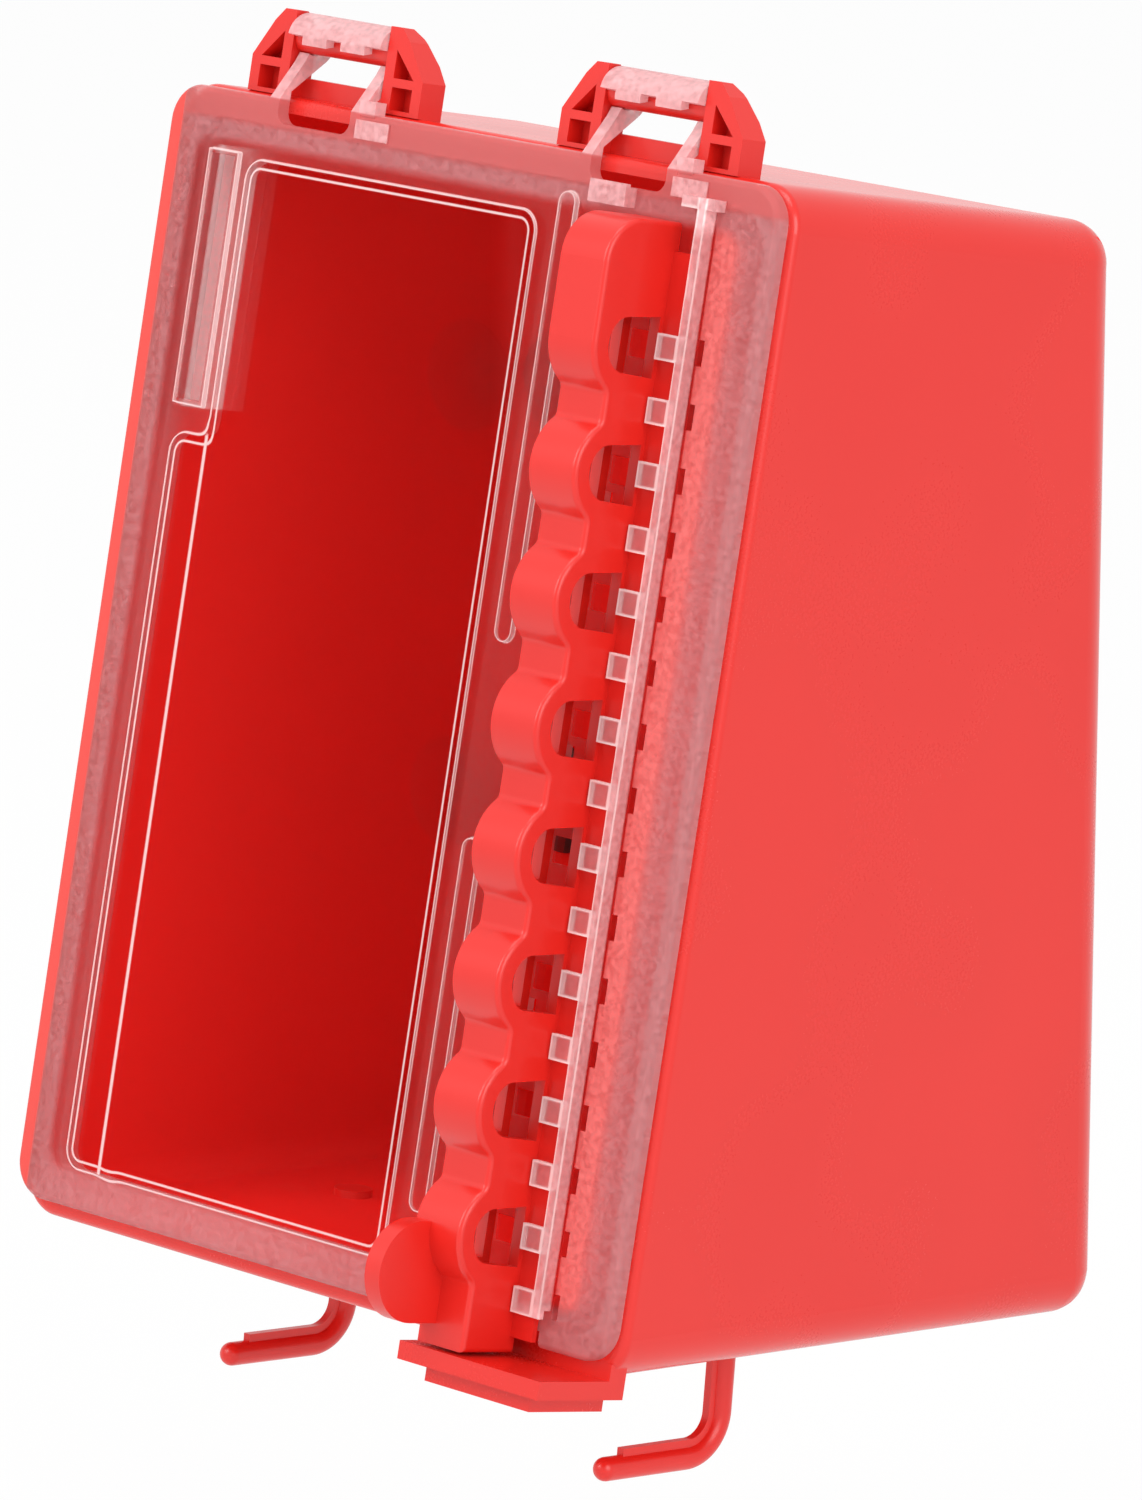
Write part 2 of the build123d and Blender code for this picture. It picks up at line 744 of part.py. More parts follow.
# Hooks under the case
def build_hook(x, name):
    """A ribbed hook whose stem passes through the floor of the case and snaps in behind it."""
    start = Vector(x, hook_seat.Y, hook_seat.Z)
    elbow = start + bottom_normal * hook_drop
    tip = elbow + Vector(0, -hook_arm, hook_tip_rise)
    arm = (tip - elbow).normalized()
    with BuildPart() as hook:
        with BuildSketch(hook_plane):
            with Locations((x, 0)):
                Circle(hook_stem_radius)
        extrude(amount=-(case_wall + hook_head_thickness))
        with BuildSketch(hook_plane.offset(-case_wall)):
            with Locations((x, 0)):
                Circle(hook_head_radius)
        extrude(amount=-hook_head_thickness)
        with BuildLine() as path:
            FilletPolyline(start, elbow, tip, radius=hook_bend)
        with BuildSketch(Plane(origin=start, x_dir=(1, 0, 0), z_dir=bottom_normal)):
            Circle(hook_radius)
        sweep(path=path.line)
        with Locations(tip):
            Sphere(hook_radius)
        rise = hook_radius + hook_spine_height
        shank_side = Vector(0, bottom_normal.Z, -bottom_normal.Y)
        arm_side = Vector(0, arm.Z, -arm.Y)
        spine_end = tip - arm * hook_spine_end
        inner_elbow = elbow + (shank_side + arm_side) * (rise / (1 + shank_side.dot(arm_side)))
        with BuildSketch(Plane.YZ.offset(x - hook_spine_thickness / 2)):
            with BuildLine():
                outer_line = FilletPolyline(
                    (start.Y, start.Z),
                    (elbow.Y, elbow.Z),
                    (spine_end.Y, spine_end.Z),
                    radius=hook_bend,
                )
                inner_start = start + shank_side * rise
                inner_end = spine_end + arm_side * rise
                inner_line = FilletPolyline(
                    (inner_start.Y, inner_start.Z),
                    (inner_elbow.Y, inner_elbow.Z),
                    (inner_end.Y, inner_end.Z),
                    radius=hook_bend - rise,
                )
                Line(outer_line @ 0, inner_line @ 0)
                Line(outer_line @ 1, inner_line @ 1)
            make_face()
        extrude(amount=hook_spine_thickness)
    finish(hook, name)
    return hook


storage_hook_left = build_hook(-hook_x, "storage_hook_left")
storage_hook_right = build_hook(hook_x, "storage_hook_right")


# Release buttons
def build_button(height, name):
    """A button that slides along the back wall and draws its latch foot out of the wall bracket."""
    head_back = case_wall + button_clearance
    dome_rise = button_height - button_brim
    dome_radius = (button_radius**2 + dome_rise**2) / (2 * dome_rise)
    with BuildPart() as button:
        with BuildSketch(Plane.YZ.offset(button_x)):
            with BuildLine():
                brim = (-head_back - button_brim, height + button_radius)
                crown = (-head_back - button_height, height)
                Polyline(
                    crown,
                    (-head_back, height),
                    (-head_back, height + button_radius),
                    brim,
                )
                RadiusArc(brim, crown, -dome_radius)
            make_face()
        revolve(axis=Axis((button_x, 0, height), (0, 1, 0)))
        with BuildSketch(Plane.XZ.offset(button_clearance)):
            with Locations((button_x, height)):
                SlotOverall(neck_length, neck_width)
        extrude(amount=case_wall)
        with BuildSketch(Plane.XZ.offset(button_clearance)):
            with Locations((button_x, height)):
                Rectangle(*foot_size)
        extrude(amount=foot_thickness)
    finish(button, name)
    return button


wall_button_lower = build_button(button_heights[0], "wall_button_lower")
wall_button_upper = build_button(button_heights[1], "wall_button_upper")
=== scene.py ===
# %% [markdown]
# # A group lockout box
#
# A red plastic case hangs on a wall. A clear cover swings up on two hinges, and a red bar slides
# on the cover: its eight holes take the shackles of padlocks. The solids come from the CAD model,
# so this lesson is about finishes: glossy moulded plastic, clear plastic that is frosted in some
# places and polished in others, and black rubbery buttons. Everything is in metres, in the frame
# of the CAD model.

import json
from math import cos, radians, sin

import bpy
from mathutils import Matrix, Vector


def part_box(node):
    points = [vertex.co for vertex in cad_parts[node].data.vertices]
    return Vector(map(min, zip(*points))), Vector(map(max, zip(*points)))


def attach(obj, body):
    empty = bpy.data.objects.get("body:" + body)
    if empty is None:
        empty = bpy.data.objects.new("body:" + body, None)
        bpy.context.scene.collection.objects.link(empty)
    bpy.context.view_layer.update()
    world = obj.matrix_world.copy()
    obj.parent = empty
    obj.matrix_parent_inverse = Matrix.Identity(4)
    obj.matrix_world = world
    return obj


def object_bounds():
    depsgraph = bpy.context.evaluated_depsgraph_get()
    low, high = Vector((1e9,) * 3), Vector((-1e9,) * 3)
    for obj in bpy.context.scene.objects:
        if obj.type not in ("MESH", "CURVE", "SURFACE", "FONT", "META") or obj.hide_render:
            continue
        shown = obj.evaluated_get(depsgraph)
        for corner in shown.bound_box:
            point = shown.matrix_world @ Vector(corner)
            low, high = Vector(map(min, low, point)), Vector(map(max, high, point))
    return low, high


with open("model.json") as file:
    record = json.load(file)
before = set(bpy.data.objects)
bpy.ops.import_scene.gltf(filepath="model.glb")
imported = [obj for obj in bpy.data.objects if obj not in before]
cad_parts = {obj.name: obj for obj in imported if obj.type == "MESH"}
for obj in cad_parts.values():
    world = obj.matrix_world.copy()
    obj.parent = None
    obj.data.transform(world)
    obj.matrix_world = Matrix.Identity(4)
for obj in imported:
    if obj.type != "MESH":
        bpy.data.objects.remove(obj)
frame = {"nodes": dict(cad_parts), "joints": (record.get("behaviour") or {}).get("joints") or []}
cad_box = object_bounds()
nodes = frame["nodes"]
print("pieces:", sorted(nodes))

# %% [markdown]
# ## The leaning front
#
# The cover leans back, so places on it are easiest to give as a distance across, a height up the
# front and a distance out of it. A measured angle would do, but the joints already know it: the
# lock bar slides straight up the cover, and the hinge bar lies at a known height and depth.

# %% The frame of the front
ACROSS = Vector((1, 0, 0))
HINGE_HEIGHT = 0.2206
HINGE_DEPTH = 0.0038
joints = {joint["name"]: joint for joint in frame["joints"]}
UPWARD = Vector(joints["lock_bar_slide"]["axis"]).normalized()
OUTWARD = ACROSS.cross(UPWARD)
hinge_point = Vector(joints["cover_hinge"]["pos_m"])
FRONT_ORIGIN = hinge_point - UPWARD * HINGE_HEIGHT + OUTWARD * HINGE_DEPTH
print("front lies at", tuple(round(v, 4) for v in FRONT_ORIGIN))

# %% [markdown]
# ## Shader maths as Python
#
# A material is a small network of nodes. Written one node at a time it is long and hard to read,
# so this class wraps an output socket and lets Python's own operators add the Math nodes.
# `1 - mask` then reads as it would on paper.


# %% A wire that can be added and multiplied
class Wire:
    """An output socket of a material or the world, with the arithmetic of the finishes."""

    def __init__(self, owner, socket):
        self.owner = owner
        self.socket = socket

    def node(self, kind, inputs, **settings):
        """Add a node, set its properties, then fill its inputs with values or wires."""
        made = self.owner.node_tree.nodes.new(kind)
        for name, value in settings.items():
            setattr(made, name, value)
        for key, value in inputs.items():
            if isinstance(value, Wire):
                self.owner.node_tree.links.new(value.socket, made.inputs[key])
            else:
                made.inputs[key].default_value = value
        return made

    def math(self, operation, *values):
        """A Math node on the given numbers and wires."""
        made = self.node("ShaderNodeMath", dict(enumerate(values)), operation=operation)
        return Wire(self.owner, made.outputs[0])

    def __add__(self, other):
        return self.math("ADD", self, other)

    def __sub__(self, other):
        return self.math("SUBTRACT", self, other)

    def __rsub__(self, other):
        return self.math("SUBTRACT", other, self)

    def __mul__(self, other):
        return self.math("MULTIPLY", self, other)

    def __abs__(self):
        return self.math("ABSOLUTE", self)

    __radd__ = __add__
    __rmul__ = __mul__

    def least(self, other):
        """The smaller of the two."""
        return self.math("MINIMUM", self, other)

    def most(self, other):
        """The larger of the two."""
        return self.math("MAXIMUM", self, other)

    def smooth_least(self, other, blend):
        """The smaller of the two, rounded where they meet."""
        return self.math("SMOOTH_MIN", self, other, blend)

    def root(self):
        """The square root."""
        return self.math("SQRT", self)

    def wrap(self, pitch):
        """Fold a distance onto one pitch round 0."""
        return self.math("WRAP", self, pitch / 2, -pitch / 2)

    def ramp(self, low, high):
        """0 at low and below, 1 at high and above, straight between."""
        made = self.node("ShaderNodeMapRange", {0: self, 1: low, 2: high})
        return Wire(self.owner, made.outputs[0])


print("wires can be added, multiplied, wrapped and ramped")

# %% [markdown]
# ## The start of a finish
#
# Each finish starts from one Principled shader. `new_finish` makes it, and hands back the
# material, the shader and the place of the shaded point as a first wire to build from. The place
# comes from object coordinates, which stay with a piece when it moves. Coordinates of the world
# would let the pattern slide over a cover that opens.


# %% Start a finish
def new_finish(name, **constants):
    """A material with one Principled shader; constants go straight onto its sockets."""
    material = bpy.data.materials.new(name)
    material.use_nodes = True
    shader = material.node_tree.nodes["Principled BSDF"]
    for socket, value in constants.items():
        shader.inputs[socket.replace("_", " ")].default_value = value
    coordinates = material.node_tree.nodes.new("ShaderNodeTexCoord")
    return material, shader, Wire(material, coordinates.outputs["Object"])


def link(wire, shader, socket):
    """Feed a wire into an input of a shader."""
    wire.owner.node_tree.links.new(wire.socket, shader.inputs[socket])


def mix_shaders(factor, first, second, output="Material Output"):
    """Blend two shaders by a factor and put the result on the surface."""
    blend = factor.node("ShaderNodeMixShader", {0: factor})
    tree = factor.owner.node_tree
    tree.links.new(first.outputs[0], blend.inputs[1])
    tree.links.new(second.outputs[0], blend.inputs[2])
    tree.links.new(blend.outputs[0], tree.nodes[output].inputs["Surface"])


print("finishes can be started and mixed")

# %% [markdown]
# Four more helpers make patterns. Noise stands in for photographs of a surface: it has no seams,
# needs no unwrapping and can be made as fine as the plastic's own grain.


# %% Patterns
def noise(place, size, detail=3.0):
    """Smooth random values round 0.5, with spots of about the given size in metres."""
    settings = {"Vector": place, "Scale": 1 / size, "Detail": detail, "Roughness": 0.5}
    return Wire(place.owner, place.node("ShaderNodeTexNoise", settings).outputs["Fac"])


def along(place, direction, origin=Vector((0, 0, 0))):
    """Distance of the shaded point from origin, measured along a direction."""
    kind = "ShaderNodeVectorMath"
    shifted = place.node(kind, {0: place, 1: tuple(origin)}, operation="SUBTRACT")
    offset = Wire(place.owner, shifted.outputs["Vector"])
    dot = place.node(kind, {0: offset, 1: tuple(direction)}, operation="DOT_PRODUCT")
    return Wire(place.owner, dot.outputs["Value"])


def tint(factor, under, over):
    """Lay a fixed colour over a colour or a colour wire by a factor."""
    if not isinstance(under, Wire):
        under = (*under, 1)
    inputs = {0: factor, 6: under, 7: (*over, 1)}
    made = factor.node("ShaderNodeMix", inputs, data_type="RGBA")
    return Wire(factor.owner, made.outputs[2])


def relief(height, strength, depth):
    """A bump from a height wire, as a normal."""
    inputs = {"Height": height, "Strength": strength, "Distance": depth}
    return Wire(height.owner, height.node("ShaderNodeBump", inputs).outputs["Normal"])


print("pattern helpers ready")

# %% [markdown]
# ## Red moulded plastic
#
# The case, the yokes, the lock bar and the hooks are the same bright red, moulded in a polished
# tool. Such a surface is glossy but never perfectly flat: long soft waves bend its reflections a
# little. One plain shader would look like glass or like wax, so waves and a very fine grain drive
# its roughness and a faint bump, and the colour varies by a few percent.

# %% Red plastic
RED = (0.73, 0.018, 0.011)
RED_DEEP = (0.68, 0.013, 0.008)
PLASTIC_IOR = 1.5
COAT = 0.12
COAT_ROUGHNESS = 0.05
WAVE_SIZE = 0.045
WAVE_DULLS = 0.08
GRAIN_SIZE = 0.0006
GRAIN_DULLS = 0.02
GRAIN_RISE = 0.003
RED_BUMP = 0.25
RED_DEPTH = 0.0006


def red_plastic(name, roughness):
    """Glossy red, as a finish that other shaders can be mixed into."""
    material, shader, place = new_finish(
        name, IOR=PLASTIC_IOR, Coat_Weight=COAT, Coat_Roughness=COAT_ROUGHNESS
    )
    waves = noise(place, WAVE_SIZE, detail=1.0)
    grain = noise(place, GRAIN_SIZE, detail=2.0)
    link(tint(waves, RED, RED_DEEP), shader, "Base Color")
    link(roughness + WAVE_DULLS * waves + GRAIN_DULLS * grain, shader, "Roughness")
    link(relief(waves + GRAIN_RISE * grain, RED_BUMP, RED_DEPTH), shader, "Normal")
    print(name, "roughness from", roughness)
    return material, shader, place


fittings_red = red_plastic("red_fittings", 0.30)[0]

# %% [markdown]
# The inside of the case comes from the other half of the tool, which is not polished. The case is
# one solid, so its inner faces can't carry a material of their own. Instead a second, dull shader
# is mixed in wherever a point lies inside the walls: left and right, behind the rim, in front of
# the back wall, below the top and above the sloping floor.

# %% Dull red inside the case, brightened with painted light
# The inside reds are brighter than the outer red. This is painted light, making up for the lamp
# light that the cover keeps out of the case. The noise between the two reds is random tone.
RED_INSIDE_PAINTED_LIGHT = (0.865, 0.016, 0.012)
RED_CORE_PAINTED_LIGHT = (0.815, 0.014, 0.010)
SPOT_SIZE = 0.02
DULL_ROUGHNESS = 0.5
DULL_GLOSS = 0.15
BACKWARD = Vector((0, 1, 0))
DOWNWARD = Vector((0, -0.0976, -0.9952))
INNER_HALF = 0.0757
INNER_BACK = -0.0026
INNER_TOP = 0.2074
INNER_FLOOR = -0.0026
INNER_RIM = -0.0013
SOFT_EDGE = 0.0003

case_red, polished, place = red_plastic("red_case", 0.22)
inside = 1 - abs(along(place, ACROSS)).ramp(INNER_HALF, INNER_HALF + SOFT_EDGE)
for direction, origin, wall in (
    (BACKWARD, Vector((0, 0, 0)), INNER_BACK),
    (UPWARD, FRONT_ORIGIN, INNER_TOP),
    (OUTWARD, FRONT_ORIGIN, INNER_RIM),
    (DOWNWARD, FRONT_ORIGIN, INNER_FLOOR),
):
    inside = inside * (1 - along(place, direction, origin).ramp(wall, wall + SOFT_EDGE))
inner_colour_painted_light = tint(noise(place, SPOT_SIZE), RED_INSIDE_PAINTED_LIGHT, RED_CORE_PAINTED_LIGHT)
dull = place.node(
    "ShaderNodeBsdfPrincipled",
    {"Base Color": inner_colour_painted_light, "Roughness": DULL_ROUGHNESS, "Specular IOR Level": DULL_GLOSS},
)
mix_shaders(inside, polished, dull)
print("inside of the case is dull")

# %% [markdown]
# ## Clear plastic, frosted and polished
#
# The cover is one clear moulding. Its tool was textured all over except for a large window, so
# the cover is frosted round the window and clear inside it. Two materials would need an edge in
# the mesh along the window. One material does both: a mask that knows the outline of the window
# turns the roughness down inside it.
#
# The outline is a rectangle with a second, narrower one beside its lower part, and the distance
# to a rounded rectangle is a short formula. The same formula finds the two beads, the lip of the
# key slot and the flat field inside the sloping rim.

# %% Outlines on the cover
WINDOW = {"left": -0.0550, "right": 0.0200, "low": 0.0106, "high": 0.1980, "corner": 0.004}
WINDOW_SIDE = {"left": -0.0644, "right": -0.0500, "low": 0.0106, "high": 0.1470, "corner": 0.004}
BEAD_TOP = {"left": 0.02515, "right": 0.02925, "low": 0.1226, "high": 0.2025, "corner": 0.002}
BEAD_LOW = {"left": 0.02515, "right": 0.02925, "low": 0.0206, "high": 0.0876, "corner": 0.002}
SLOT_LIP = {"left": -0.0648, "right": -0.0570, "low": 0.1520, "high": 0.1986, "corner": 0.0003}
FLAT_FIELD = {"left": -0.0690, "right": 0.0690, "low": 0.0105, "high": 0.2005, "corner": 0.004}


def outside(across, up, outline):
    """Distance outside a rounded rectangle on the front, negative inside."""
    corner = outline["corner"]
    middle_x = (outline["left"] + outline["right"]) / 2
    middle_u = (outline["low"] + outline["high"]) / 2
    half_x = (outline["right"] - outline["left"]) / 2 - corner
    half_u = (outline["high"] - outline["low"]) / 2 - corner
    gap_x = abs(across - middle_x) - half_x
    gap_u = abs(up - middle_u) - half_u
    far_x = gap_x.most(0.0)
    far_u = gap_u.most(0.0)
    reach = (far_x * far_x + far_u * far_u).root()
    return reach + gap_x.most(gap_u).least(0.0) - corner


print("window is", round(WINDOW["high"] - WINDOW["low"], 4), "high")

# %% [markdown]
# The shackle holes and the tabs of the comb stand in rows with an even pitch. Two dozen outlines
# would make a large network, but a height that is wrapped at the pitch folds a whole row onto one
# place, so that one outline serves for all of it. The plate is polished round each hole.

# %% Rows of holes and tabs
GATE = {"left": 0.0442, "right": 0.0562, "low": -0.0025, "high": 0.0025, "corner": 0.0004}
TAB = {"left": 0.0557, "right": 0.0607, "low": -0.0023, "high": 0.0023, "corner": 0.0006}
FIRST_HOLE = 0.0218
HOLE_PITCH = 0.0224
ABOVE_HOLES = (0.1850, 0.1851)
FIRST_TAB = 0.0110
TAB_PITCH = 0.0112
OFF_PLATE = (0.0036, 0.0037)
FAR_AWAY = 0.01


def from_gate(across, up, out):
    """Distance outside the polished field round the nearest shackle hole of the plate."""
    field = outside(across, (up - FIRST_HOLE).wrap(HOLE_PITCH), GATE)
    return field + FAR_AWAY * up.ramp(*ABOVE_HOLES).most(out.ramp(*OFF_PLATE))


def from_tab(across, up):
    """Distance outside the nearest tab of the comb."""
    return outside(across, (up - FIRST_TAB).wrap(TAB_PITCH), TAB)


print("holes every", HOLE_PITCH, "and tabs every", TAB_PITCH)

# %% [markdown]
# Sharp moulded edges catch the light as thin white lines. A real edge does it by bending light in
# its tiny rounding, which would take a very fine mesh and many samples. A narrow pale line along
# each outline looks the same. It is drawn only on the faces that lie at the right distance out of
# the front, so it doesn't run down the side of a wall.

# %% Pale lines on moulded edges
LINE_HALF = 0.00035
SEAM_HALF = 0.0006
TAB_LINE_HALF = 0.0006
WALL_LINE_HALF = 0.0004
LINE_CORE = 0.4
STEP_WIDTH = 0.0016
WALL_LEFT = 0.0607
WALL_RIGHT = 0.0627
IN_WINDOW = (-0.0005, 0.0)
SEAM_END = (WINDOW_SIDE["high"], WINDOW_SIDE["high"] + 0.001)
ON_PLATE = (0.0026, 0.0031)
ON_TABS = (0.0042, 0.0046)
ON_COMB = (0.0057, 0.0059)


def pale_line(distance, half_width):
    """1 on an outline and 0 away from it."""
    return 1 - abs(distance).ramp(LINE_CORE * half_width, half_width)


def edge_lines(across, up, out, window, tab):
    """Pale lines along the moulded edges on the front of the cover."""
    lines = pale_line(window, LINE_HALF).most(pale_line(window + STEP_WIDTH, LINE_HALF))
    for outline in (BEAD_TOP, BEAD_LOW, SLOT_LIP):
        lines = lines.most(pale_line(outside(across, up, outline), LINE_HALF))
    seam = pale_line(across - WINDOW["left"], SEAM_HALF)
    seam = seam * (1 - window.ramp(*IN_WINDOW)) * (1 - up.ramp(*SEAM_END))
    lines = lines.most(seam) * out.ramp(*ON_PLATE)
    tabs = pale_line(tab, TAB_LINE_HALF) * out.ramp(*ON_TABS)
    wall = pale_line(across - WALL_LEFT, WALL_LINE_HALF)
    wall = wall.most(pale_line(across - WALL_RIGHT, WALL_LINE_HALF)) * out.ramp(*ON_COMB)
    return lines.most(tabs).most(wall)


print("pale lines are", 2 * LINE_HALF, "wide on the window and the beads")

# %% [markdown]
# Frosted plastic is not only rough: its surface also scatters a little light back, which shows as
# a pale veil. Where the cover lies close to the red case the veil is painted red, standing in for
# the red case seen through the frost, and where the light crosses more plastic it looks almost
# white.
# Real scattering inside the plastic would be slow and noisy, so the veil is a second shader, and
# the cover is divided into zones that each have their own share and colour of it:
#
# - the flat field, painted red and thin, and its strip to the right of the comb, painted a little
#   brighter;
# - the sloping rim, painted pink;
# - the hinge clips, the gussets under them, the wall of the comb and its tabs, all pale frost
#   with a painted pink tint;
# - the edge bands at the left and the top, painted deep red, standing in for the rim of the case
#   behind them.
#
# Each border is a pair of distances, and its mask runs from 0 at the first to 1 at the second.

# %% Zones of the cover
SLOPE_BLEND = (-0.001, 0.001)
TAB_BLEND = (-0.0001, 0.0001)
PAST_BEAD = (0.0, 0.0002)
ABOVE_PLATE = (0.0033, 0.0035)
GUSSETS_FROM = (0.1990, 0.2000)
CLIPS_FROM = (0.2092, 0.2096)
# The left and top bands get a deep red veil. It is painted, standing in for the red rim of the
# case seen through the cover.
LEFT_BAND_TO = (-0.0741, -0.0733)
TOP_BAND_FROM = (0.2035, 0.2045)
TOP_SHARE = 0.5
WALL_FROM = (0.0607, 0.0609)
WALL_TO = (0.0628, 0.0630)
WALL_FOOT = (0.0032, 0.0036)
STRIP_FROM = (0.0630, 0.0633)


def cover_zones(across, up, out, tab):
    """A mask for each zone of the cover."""
    slope = outside(across, up, FLAT_FIELD).ramp(*SLOPE_BLEND)
    gusset = out.ramp(*ABOVE_PLATE) * up.ramp(*GUSSETS_FROM)
    gusset = gusset * outside(across, up, BEAD_TOP).ramp(*PAST_BEAD)
    clip = up.ramp(*CLIPS_FROM).most(gusset)
    edge = (1 - across.ramp(*LEFT_BAND_TO)).most(TOP_SHARE * up.ramp(*TOP_BAND_FROM))
    wall = across.ramp(*WALL_FROM) * out.ramp(*WALL_FOOT) * (1 - across.ramp(*WALL_TO))
    tabs = (1 - tab.ramp(*TAB_BLEND)) * out.ramp(*ON_TABS)
    return {
        "strip": across.ramp(*STRIP_FROM) * (1 - slope),
        "slope": slope,
        "clip": clip,
        "wall": wall,
        "tabs": tabs,
        "pale": clip.most(wall).most(tabs),
        "edge": edge * (1 - clip),
    }


print("the sloping rim starts", FLAT_FIELD["right"], "from the middle")

# %% [markdown]
# Lamps do not shine through a refracting surface in this renderer, so a fully refracting cover
# would leave the inside of the case dark. Alpha below 1 lets the rest of the light straight
# through. The straight rays meet the back of the plate at the angle they had outside, and a high
# index would throw them all back there, so the index is set low.

# %% Clear plastic
CLEAR = (0.99, 0.97, 0.97, 1)
THIN_IOR = 1.2
GLOSS_LEVEL = 0.3
POLISH = 0.03
FROST = 0.28
FROST_SWING = 0.1
FROST_GRAIN = 0.0011
FROST_BUMP = 0.12
FROST_DEPTH = 0.0003
CLEAR_BODY = 0.08
FROST_BODY = 0.45
VEIL_ROUGHNESS = 0.45


def new_clear(name):
    """A clear finish, with a grain wire for its frost."""
    material, shader, place = new_finish(
        name,
        IOR=THIN_IOR,
        Transmission_Weight=1.0,
        Base_Color=CLEAR,
        Specular_IOR_Level=GLOSS_LEVEL,
    )
    return material, shader, place, noise(place, FROST_GRAIN, detail=2.0)


def frost_over(shader, grain, frosted, veil, colour):
    """Roughen a clear shader where it is frosted and lay the veil over it."""
    link(POLISH + frosted * (FROST - POLISH + FROST_SWING * grain), shader, "Roughness")
    link(CLEAR_BODY + frosted * (FROST_BODY - CLEAR_BODY), shader, "Alpha")
    link(relief(grain * frosted, FROST_BUMP, FROST_DEPTH), shader, "Normal")
    veil_inputs = {
        "Base Color": colour,
        "Roughness": VEIL_ROUGHNESS,
        "Specular IOR Level": GLOSS_LEVEL,
    }
    mix_shaders(veil, shader, grain.node("ShaderNodeBsdfPrincipled", veil_inputs))


print("clear plastic: frost", FROST, "polish", POLISH)

# %% [markdown]
# The shares of the first group add up where their zones meet and are broken up by the grain.
# Those of the second group are smooth and win over the first where they are larger. The colours
# are laid over each other in the order of the list.

# %% Shares and colours of the veil
GRAINY_VEIL = {"slope": 0.22, "clip": 0.22, "wall": 0.32, "strip": 0.40}
SMOOTH_VEIL = {"tabs": 0.12, "edge": 0.90, "line": 0.65}
FLAT_VEIL = 0.15
VEIL_LOW = 0.2
VEIL_SWING = 1.6
# The red and pink veil colours are painted glow, standing in for the red case seen through the
# frost. The pale part of the veil is the frost's own scatter, and the line colour is the painted
# highlight of the moulded edges.
PAINTED_GLOW_FLAT = (0.62, 0.035, 0.03)
PAINTED_GLOW_STRIP = (0.88, 0.20, 0.19)
FROST_AND_PAINTED_GLOW = {
    "slope": (0.66, 0.27, 0.28),
    "pale": (0.90, 0.50, 0.51),
    "edge": (0.80, 0.075, 0.062),
    "line": (0.98, 0.78, 0.77),
}
print("largest share of the veil:", max(SMOOTH_VEIL.values()))

# %% [markdown]
# Now the cover's own finish can be put together from the outlines, the zones and the lines.

# %% The cover
WINDOW_BLEND = 0.004
WINDOW_EDGE = (-0.0002, 0.0002)
GATE_EDGE = (-0.0001, 0.0001)

cover_clear, shader, place, grain = new_clear("clear_cover")
across = along(place, ACROSS)
up = along(place, UPWARD, FRONT_ORIGIN)
out = along(place, OUTWARD, FRONT_ORIGIN)
window = outside(across, up, WINDOW)
window = window.smooth_least(outside(across, up, WINDOW_SIDE), WINDOW_BLEND)
frosted = window.ramp(*WINDOW_EDGE) * from_gate(across, up, out).ramp(*GATE_EDGE)
tab = from_tab(across, up)
zones = cover_zones(across, up, out, tab)
zones["line"] = edge_lines(across, up, out, window, tab)
veil = FLAT_VEIL
for zone, share in GRAINY_VEIL.items():
    veil = veil + share * zones[zone]
veil = frosted * veil * (VEIL_LOW + VEIL_SWING * grain)
for zone, share in SMOOTH_VEIL.items():
    veil = veil.most(share * zones[zone])
colour = tint(zones["strip"], PAINTED_GLOW_FLAT, PAINTED_GLOW_STRIP)
for zone, veil_colour in FROST_AND_PAINTED_GLOW.items():
    colour = tint(zones[zone], colour, veil_colour)
frost_over(shader, grain, frosted, veil, colour)
print("cover has", len(cover_clear.node_tree.nodes), "shader nodes")

# %% [markdown]
# The baffle is a small pale plate behind the key slot, which keeps a finger or a wire from
# reaching in. It shows through the slot as a bright strip. Its right part is clear, so one more
# mask polishes it there.

# %% The baffle
BAFFLE_FROST_TO = (-0.0640, -0.0635)
BAFFLE_VEIL = 0.9
BAFFLE_LOW = 0.6
BAFFLE_SWING = 0.8

baffle_clear, shader, place, grain = new_clear("clear_baffle")
frosted = 1 - along(place, ACROSS).ramp(*BAFFLE_FROST_TO)
veil = BAFFLE_VEIL * frosted * (BAFFLE_LOW + BAFFLE_SWING * grain)
frost_over(shader, grain, frosted, veil, tint(grain, FROST_AND_PAINTED_GLOW["line"], FROST_AND_PAINTED_GLOW["pale"]))
print("baffle has", len(baffle_clear.node_tree.nodes), "shader nodes")

# %% [markdown]
# ## Black buttons
#
# The two buttons inside the case are soft black plastic with a satin grain. Pure black would hide
# their round shape, so the colour is a dark grey, and a fine noise gives both the satin look and
# a faint relief.

# %% Black plastic
BLACK = (0.016, 0.015, 0.014)
BLACK_WORN = (0.028, 0.026, 0.025)
SATIN_GRAIN = 0.0008
SATIN = 0.34
SATIN_SWING = 0.14
SATIN_BUMP = 0.2
SATIN_DEPTH = 0.0002

button_black, shader, place = new_finish("black_button", IOR=PLASTIC_IOR)
grain = noise(place, SATIN_GRAIN)
link(tint(grain, BLACK, BLACK_WORN), shader, "Base Color")
link(SATIN + SATIN_SWING * grain, shader, "Roughness")
link(relief(grain, SATIN_BUMP, SATIN_DEPTH), shader, "Normal")
print("buttons are satin black")

# %% [markdown]
# ## Dress the pieces
#
# Every solid of the CAD model keeps its shape and only gets its finish. A list by name makes a
# forgotten piece stop the script instead of leaving it grey.

